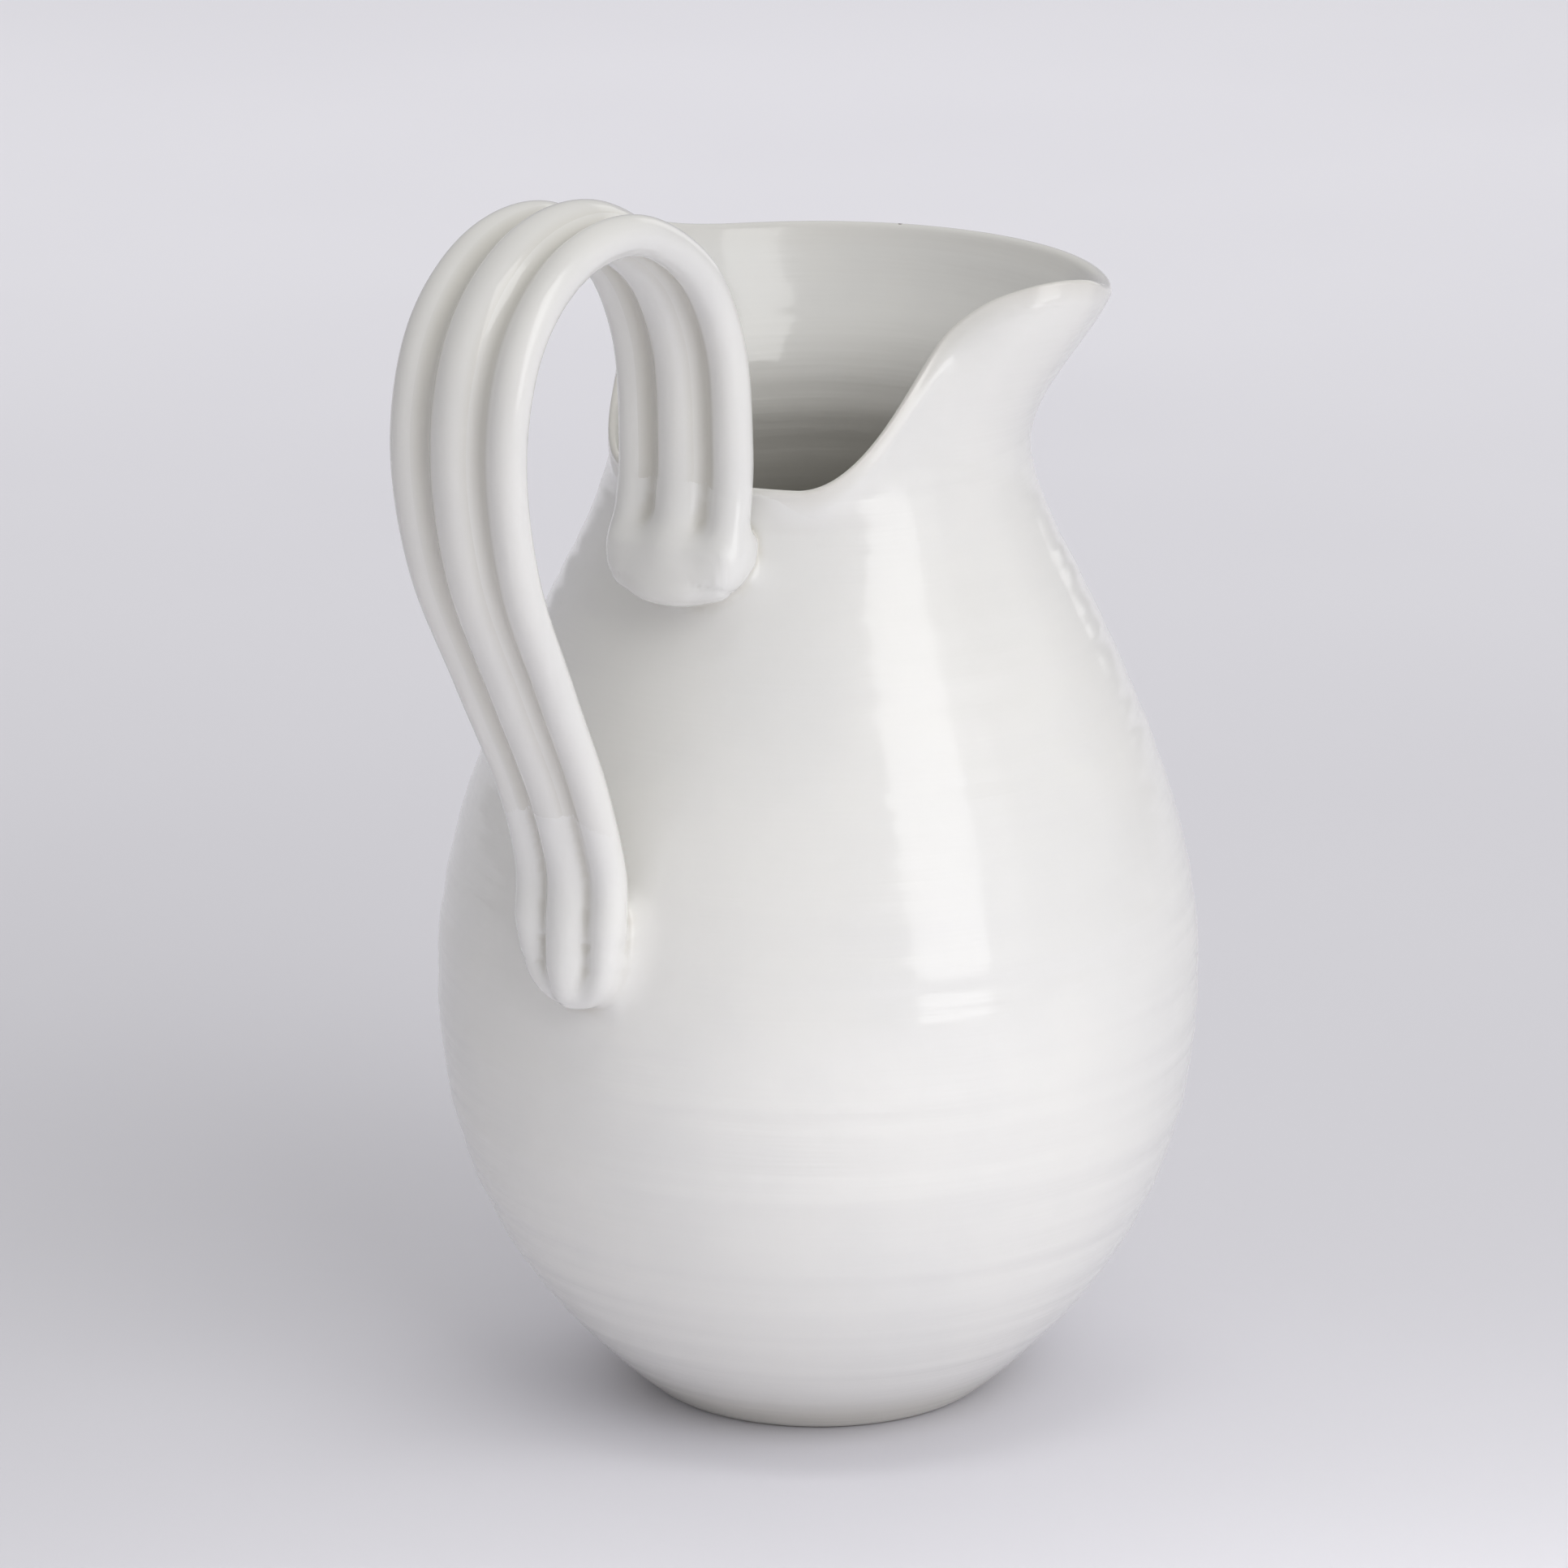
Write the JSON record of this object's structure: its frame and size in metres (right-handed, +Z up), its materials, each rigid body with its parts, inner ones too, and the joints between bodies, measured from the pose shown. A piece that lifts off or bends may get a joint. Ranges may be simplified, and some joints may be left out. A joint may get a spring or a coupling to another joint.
{
  "type": "ceramic pitcher",
  "caption": "Thrown ceramic pitcher with a full belly, a narrow neck, a high flared pouring collar cut away at the back, and a looped handle of joined clay coils.",
  "frame": {"origin": "centre of the foot, on the surface that the pitcher stands on", "axes": "+X towards the tip of the spout with the handle at -X, +Z up along the axis the body was thrown on"},
  "size_m": [0.2148, 0.165, 0.278],
  "materials": {
    "glazed_clay": "glossy warm white glaze over white clay, a little thinner along the rim and coil crests; the ring of the foot is bare",
    "glazed_slip": "the same glossy warm white glaze, pooled a little thicker where the slip fills the valleys"
  },
  "bodies": {
    "root": {"vessel": "glazed_clay", "middle_coil": "glazed_clay", "left_coil": "glazed_clay", "right_coil": "glazed_clay", "left_seam": "glazed_slip", "right_seam": "glazed_slip", "upper_joint": "glazed_slip", "lower_joint": "glazed_slip"}
  },
  "joints": []
}
